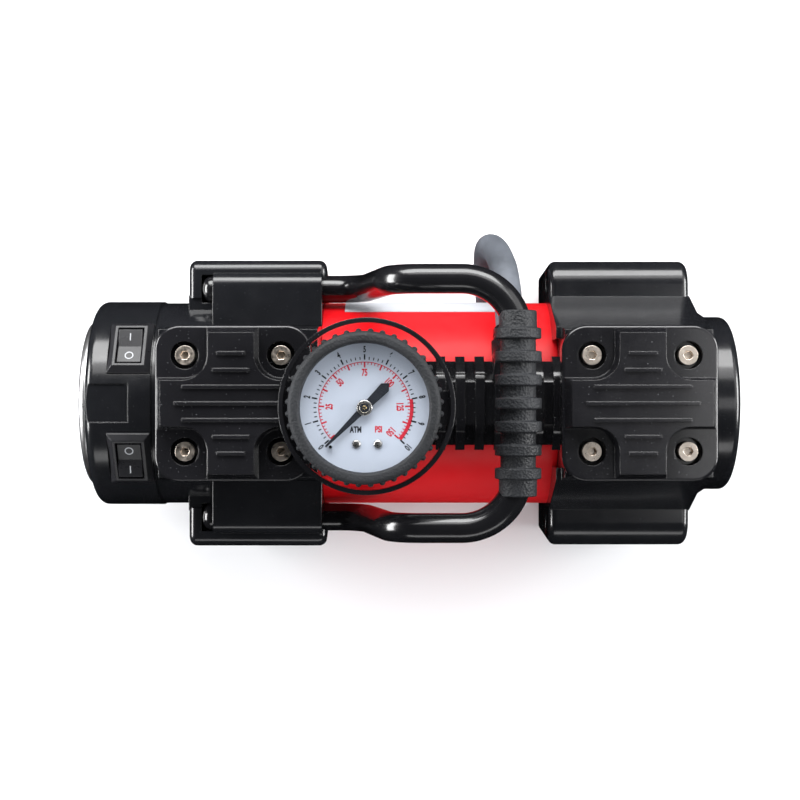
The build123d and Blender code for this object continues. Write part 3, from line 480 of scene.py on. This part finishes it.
def red_scale():
    """Psi: ticks inward from a thin ring, the numbers inside them, and the danger band."""
    bm = bmesh.new()
    long, short, start = PSI_TICKS
    for i in range(int(PSI_FULL / PSI_MAJOR) * PSI_STEPS + 1):
        end, width = (short, 0.30) if i % PSI_STEPS else (long, TICK_WIDE)
        radial_bar(bm, scale_angle(i * PSI_MAJOR / PSI_STEPS * PSI_TO_ATM), end, start, width)
    scale_numbers(bm, PSI_NUMBERS_R, 3.3, [(n, n * PSI_TO_ATM) for n in range(25, PSI_FULL + 1, 25)])
    printed_arc(bm, 0, ATM_FULL, start - 0.15, start + 0.12, height=0.045, steps=120)
    printed_arc(bm, DANGER_FROM, ATM_FULL, *DANGER_R, height=0.05, steps=60)
    add_text(bm, "PSI", 4.8, -7.5, 0, 2.95, 0.72)
    add_piece("dial_red_scale", mesh_from(bm, "dial_red_scale"), "frame", "dial_white", "dial_red")


def needle_hub():
    """The turned cap on the needle, with its brass spindle end."""
    low, top, dish = 1.3, 2.5, 2.3
    spindle_r, cap_r, edge = 1.0, 2.75, 0.4
    bm = bmesh.new()
    profile = [(spindle_r, low), (cap_r, low)] + arc((cap_r - edge, top - edge), edge, 0, 90, 4)
    profile += [(1.7, top), (1.5, dish), (spindle_r, dish)]
    lathe(bm, profile, 64, at_gauge(0))
    add_piece("needle_cap", mesh_from(bm, "needle_cap", 30), "needle", "chrome", "steel")
    bm = bmesh.new()
    profile = [(AXIS, 2.0), (spindle_r, 2.0), (spindle_r, 2.35), (0.5, top), (0.35, dish), (AXIS, dish)]
    lathe(bm, profile, 32, at_gauge(0))
    add_piece("needle_spindle_end", mesh_from(bm, "needle_spindle_end", 30), "needle", "brass")


def dial_screws():
    """Two domed screw heads."""
    low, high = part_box("dial_screws")
    radius = (high[1] - low[1]) / 2
    bm = bmesh.new()
    for x in (low[0] + radius, high[0] - radius):
        place = Matrix.Translation((x, (low[1] + high[1]) / 2, low[2]))
        dome = [(AXIS, 0), (1.6, 0)] + arc((0.75, 0.0), 0.85, 12, 90, 6) + [(AXIS, 0.88)]
        lathe(bm, dome, 40, place)
    mesh = mesh_from(bm, "dial_screw_domes", 50)
    piece = add_piece("dial_screw_domes", mesh, "frame", "chrome", "steel")
    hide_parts("dial_screws")


# --- handle grip ---
RIB_R = 8.3
CORE_R = 6.3
COLLAR_R = 6.8
BORE_R = 5.6
RIBS = 7
RIB_PITCH = 8.3
RIB_WIDTH = 4.0
RIB_DRAFT = 0.1       # how far a rib's side leans
GRIP_DROP = 3.0       # from the grip's middle to its ends, along its arch
GRIP_SIDES = 48


def grip_profile(half):
    """(place along the bar, radius) from one end of the grip to the other."""
    profile = [(-half, BORE_R), (-half, COLLAR_R)]
    for i in range(RIBS):
        y = (i - (RIBS - 1) / 2) * RIB_PITCH
        low, high = y - RIB_WIDTH / 2, y + RIB_WIDTH / 2
        before = COLLAR_R if i == 0 else CORE_R
        after = COLLAR_R if i == RIBS - 1 else CORE_R
        profile += [(low, before), (low + RIB_DRAFT, RIB_R), (high - RIB_DRAFT, RIB_R), (high, after)]
    return profile + [(half, COLLAR_R), (half, BORE_R)]


def grip_ring(bm, x, y, z, radius):
    """A ring of points round the bar, with its middle in metres and its radius in mm."""
    ring = []
    for i in range(GRIP_SIDES):
        turn = 2 * math.pi * i / GRIP_SIDES
        across, up = radius * math.cos(turn) * MM, radius * math.sin(turn) * MM
        ring.append(bm.verts.new((x + across, y, z + up)))
    return ring


def handle_grip():
    """A ribbed rubber sleeve with a plain collar at each end, slightly arched."""
    low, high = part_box("handle_grip")
    x = (low[0] + high[0]) / 2
    half = (high[1] - low[1]) / 2 / MM
    top = high[2] - RIB_R * MM
    bm = bmesh.new()
    rings = []
    for along, radius in grip_profile(half):
        z = top - GRIP_DROP * (along / half) ** 2 * MM
        rings.append(grip_ring(bm, x, along * MM, z, radius))
    for a, b in zip(rings, rings[1:] + rings[:1]):
        for i in range(GRIP_SIDES):
            j = (i + 1) % GRIP_SIDES
            bm.faces.new((a[i], a[j], b[j], b[i]))
    bmesh.ops.recalc_face_normals(bm, faces=bm.faces)
    piece = add_piece("handle_grip_rubber", mesh_from(bm, "handle_grip_rubber", 40), "frame", "rubber")
    rounding = piece.modifiers.new("rounding", "BEVEL")
    rounding.width = 0.45 * MM
    rounding.segments = 3
    rounding.angle_limit = math.radians(50)
    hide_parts("handle_grip")


# --- prints ---
SWITCH_TURN = 32.0    # degrees round the tail from its top to a switch
ROCKER_LEAN = 8.0     # degrees that a rocker rests at
PIVOT_R = 39.7        # from the shaft to a rocker's pivot
MARK_PLACE = 3.9      # from a rocker's middle to a mark
FACE_RISE = 1.0       # a rocker's face above its pivot, in the middle
FACE_SLOPE = 1 / 7    # how fast the face rises toward its ends
MARK_LIFT = 0.04


def rocker_face(name, sign):
    """The pivot of a rocker, turned with its face."""
    turn = math.radians(SWITCH_TURN * sign)
    lean = math.radians(ROCKER_LEAN * sign)
    x = middle(f"{name}_switch_body")[0]
    y, z = PIVOT_R * math.sin(turn) * MM, PIVOT_R * math.cos(turn) * MM
    return Matrix.Translation((x, y, SHAFT_Z + z)) @ Matrix.Rotation(lean - turn, 4, "X")


def rocker_mark(name, mark, place):
    """The line or the circle on a rocker."""
    bm = bmesh.new()
    if mark == "line":
        size = Matrix.Diagonal((0.42 * MM, 2.9 * MM, 0.06 * MM, 1))
        bmesh.ops.create_cube(bm, size=1.0, matrix=place @ size)
    else:
        lathe(bm, [(1.25, -0.03), (1.65, -0.03), (1.65, 0.03), (1.25, 0.03)], 48, place)
    mesh = mesh_from(bm, f"{name}_rocker_{mark}")
    add_piece(f"{name}_rocker_{mark}", mesh, f"{name}_rocker", "label_white", "mark_grey")


def switch_marks():
    """The line and circle on each rocker, raised a hair above its hollowed face."""
    rise = FACE_RISE + FACE_SLOPE * MARK_PLACE + MARK_LIFT
    for sign, name in ((1, "upper"), (-1, "lower")):
        for mark, side in (("line", sign), ("circle", -sign)):
            shift = Matrix.Translation((0, side * MARK_PLACE * MM, rise * MM))
            tilt = Matrix.Rotation(math.atan(FACE_SLOPE) * side, 4, "X")
            rocker_mark(name, mark, rocker_face(name, sign) @ shift @ tilt)


def label_border():
    """A thin grey line printed near the label's left and upper edges."""
    low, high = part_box("rating_label")
    radius = high[1] + 0.03 * MM
    inset, width, steps = 1.5 * MM, 0.35 * MM, 24
    start, end = math.radians(-12.0), math.radians(25.5)
    left, right = low[0] + inset, high[0] - inset
    bm = bmesh.new()

    def across(turn, x0, x1):
        y, z = radius * math.cos(turn), SHAFT_Z + radius * math.sin(turn)
        return [bm.verts.new((x, y, z)) for x in (x0, x1)]

    upright = [across(start + (end - start) * i / steps, left, left + width) for i in range(steps + 1)]
    upper = [across(turn, left, right) for turn in (end, end + width / radius)]
    for rows in (upright, upper):
        for a, b in zip(rows, rows[1:]):
            bm.faces.new((a[0], a[1], b[1], b[0]))
    add_piece("label_border", mesh_from(bm, "label_border"), "frame", "label_white", "mark_grey")


# --- hose ---
# the route's points from part.py, in mm, in the frame that all pieces share
HOSE_POINTS = [
    (37.5, 27.0, 110.0),
    (37.5, 46.8, 98.6),
    (34.5, 60.0, 79.8),
    (32.0, 64.0, 57.2),
    (32.5, 58.0, 35.1),
    (34.5, 43.3, 17.6),
    (36.5, 22.6, 8.0),
    (36.5, -0.4, 8.0),
]
HOSE_D = 10.6


def delivery_hose():
    """The short hose from the duct round the motor's side to its coupler under the motor."""
    curve = bpy.data.curves.new("delivery_hose_rubber", "CURVE")
    curve.dimensions = "3D"
    curve.bevel_depth = HOSE_D / 2 * MM
    curve.bevel_resolution = 10
    spline = curve.splines.new("NURBS")
    spline.points.add(len(HOSE_POINTS) - 1)
    for point, (x, y, z) in zip(spline.points, HOSE_POINTS):
        point.co = (x * MM, y * MM, z * MM, 1)
    spline.order_u = 3
    spline.use_endpoint_u = True
    spline.resolution_u = 16
    curve.materials.append(MATERIALS["hose_rubber"])
    hose = bpy.data.objects.new("delivery_hose_rubber", curve)
    bpy.context.scene.collection.objects.link(hose)
    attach(hose, "frame")
    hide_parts("delivery_hose")


# --- stage, light and camera ---
def floor():
    """A white floor that gloss doesn't mirror, so the black parts keep their dark edges."""
    bm = bmesh.new()
    bmesh.ops.create_grid(bm, x_segments=8, y_segments=8, size=3.0)
    plane = bpy.data.objects.new("floor", mesh_from(bm, "floor"))
    bpy.context.scene.collection.objects.link(plane)
    mat, nodes, links, shader = new_material("floor_white")
    shader.inputs["Base Color"].default_value = (0.86, 0.86, 0.87, 1)
    links.new(spread(nodes, links, noise(nodes, links, 6.0), 0.7, 0.8), shader.inputs["Roughness"])
    plane.data.materials.append(mat)
    plane.visible_glossy = False


def softbox(name, place, target, size, power):
    """A rectangular light in metres and watts, aimed at a target."""
    light = bpy.data.lights.new(name, "AREA")
    light.shape = "RECTANGLE"
    light.size, light.size_y = size
    light.energy = power
    box = bpy.data.objects.new(name, light)
    box.location = place
    box.rotation_euler = (Vector(target) - Vector(place)).to_track_quat("-Z", "Y").to_euler()
    bpy.context.scene.collection.objects.link(box)


def lights():
    """Softboxes all round, the strongest behind, and an even light that gloss doesn't mirror."""
    target = (0, 0, 0.08)
    softbox("low_rear", (-0.1, 1.1, 0.70), target, (1.5, 0.60), 28)
    softbox("high_rear", (0.0, 0.9, 1.05), target, (1.2, 0.5), 6)
    softbox("key", (0.95, 0.50, 0.75), target, (1.0, 1.0), 5)
    softbox("low_left", (-1.1, 0.1, 0.40), target, (1.0, 0.40), 22)
    softbox("low_right", (1.15, 0.1, 0.45), target, (0.8, 0.40), 16)
    softbox("front", (0.1, -1.1, 0.7), target, (1.3, 0.3), 3)
    softbox("overhead_right", (0.64, -0.02, 1.20), (0.2, 0, 0.1), (0.3, 0.7), 1.3)
    world = bpy.data.worlds.new("studio")
    world.use_nodes = True
    background = world.node_tree.nodes["Background"]
    background.inputs["Color"].default_value = (0.92, 0.95, 1.0, 1)
    background.inputs["Strength"].default_value = 0.42
    bpy.context.scene.world = world
    world.cycles_visibility.glossy = False


def camera():
    """Straight above, at the distance that the photograph's perspective gives."""
    lens = bpy.data.cameras.new("camera")
    lens.lens = 71.7
    lens.sensor_width = 36.0
    eye = bpy.data.objects.new("camera", lens)
    eye.location = CAMERA_PLACE
    bpy.context.scene.collection.objects.link(eye)
    bpy.context.scene.camera = eye


camera()
finish_cad_nodes()
delivery_hose()
gauge_boot()
black_scale()
red_scale()
needle_hub()
dial_screws()
handle_grip()
label_border()
switch_marks()
floor()
lights()
bpy.context.scene.view_settings.view_transform = "Standard"
